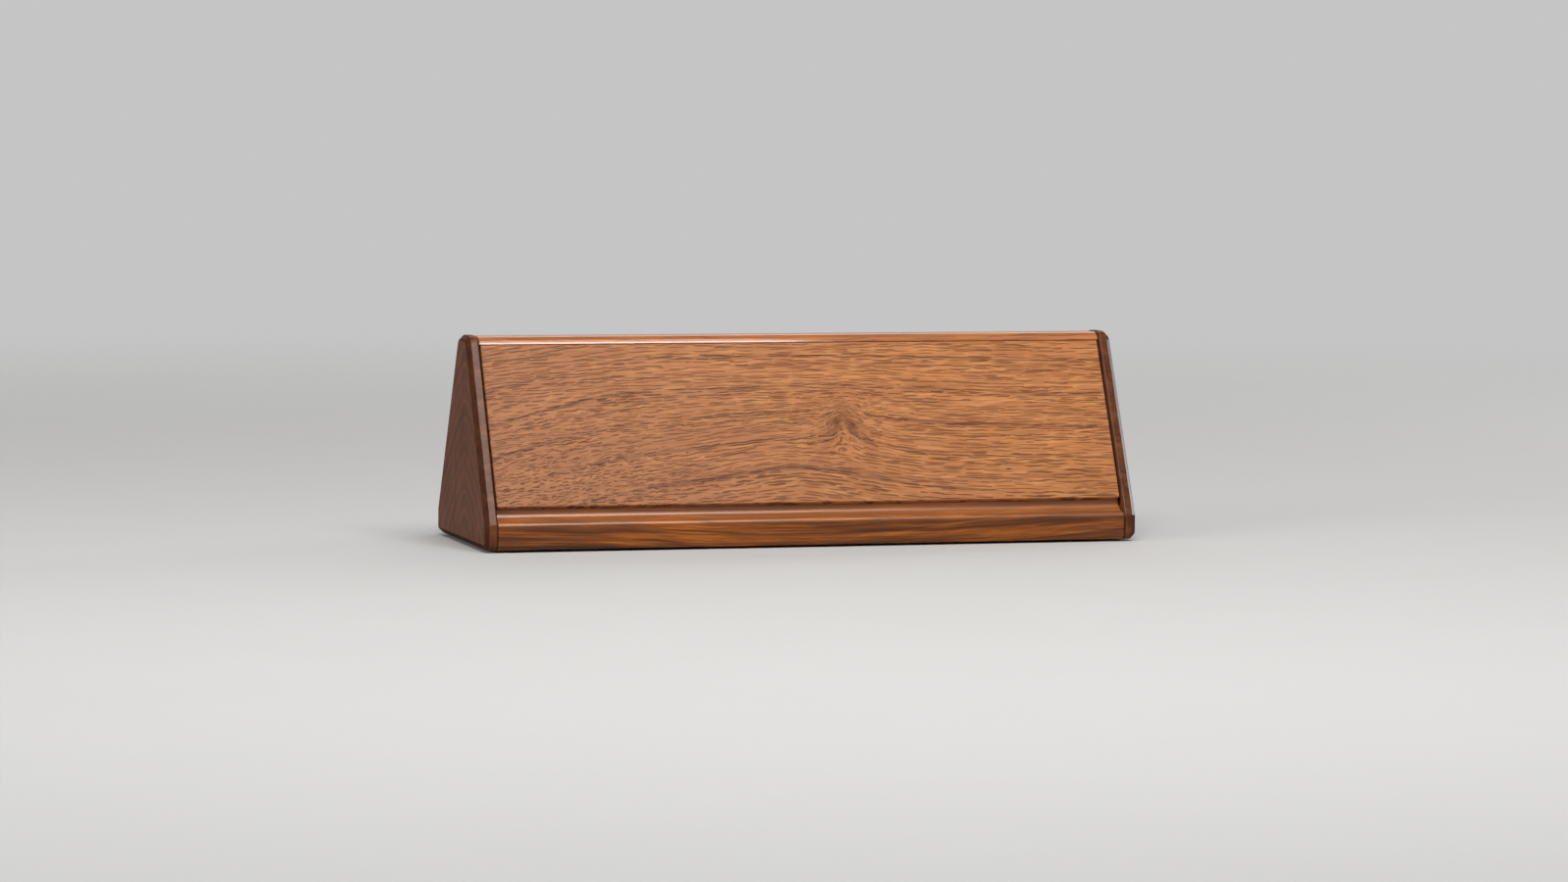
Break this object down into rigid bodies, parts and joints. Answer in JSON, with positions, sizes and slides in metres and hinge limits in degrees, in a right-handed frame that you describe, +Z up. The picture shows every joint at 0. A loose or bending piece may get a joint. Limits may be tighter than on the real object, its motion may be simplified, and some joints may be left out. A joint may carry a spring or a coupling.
{
  "type": "desk name plate",
  "caption": "Wedge-shaped wooden desk name plate with a blank sloping walnut panel, a moulded base rail, a rounded ridge and dark chamfered end caps.",
  "frame": {"origin": "on the desk, under the middle of the plate, at the centre of its footprint", "axes": "+X along the plate to the right as seen from the front, +Y from the front to the rear, +Z up"},
  "size_m": [0.254, 0.08, 0.0782],
  "materials": {
    "dark_hardwood": "gloss lacquer",
    "satin_walnut": "satin lacquer over open grain",
    "gloss_walnut": "gloss lacquer",
    "base_plywood": "stained, unlacquered",
    "dowel_beech": "bare",
    "screw_steel": "zinc plated",
    "foot_rubber": "matt"
  },
  "bodies": {
    "root": {"left_end_cap": "dark_hardwood", "right_end_cap": "dark_hardwood", "name_panel": "satin_walnut", "rear_panel": "satin_walnut", "ridge_rail": "gloss_walnut", "front_base_rail": "gloss_walnut", "rear_base_rail": "gloss_walnut", "base_board": "base_plywood", "left_front_dowel": "dowel_beech", "left_rear_dowel": "dowel_beech", "left_ridge_dowel": "dowel_beech", "right_front_dowel": "dowel_beech", "right_rear_dowel": "dowel_beech", "right_ridge_dowel": "dowel_beech", "base_screw_1": "screw_steel", "base_screw_2": "screw_steel", "base_screw_3": "screw_steel", "base_screw_4": "screw_steel", "front_left_foot": "foot_rubber", "front_right_foot": "foot_rubber", "rear_left_foot": "foot_rubber", "rear_right_foot": "foot_rubber"}
  },
  "joints": []
}
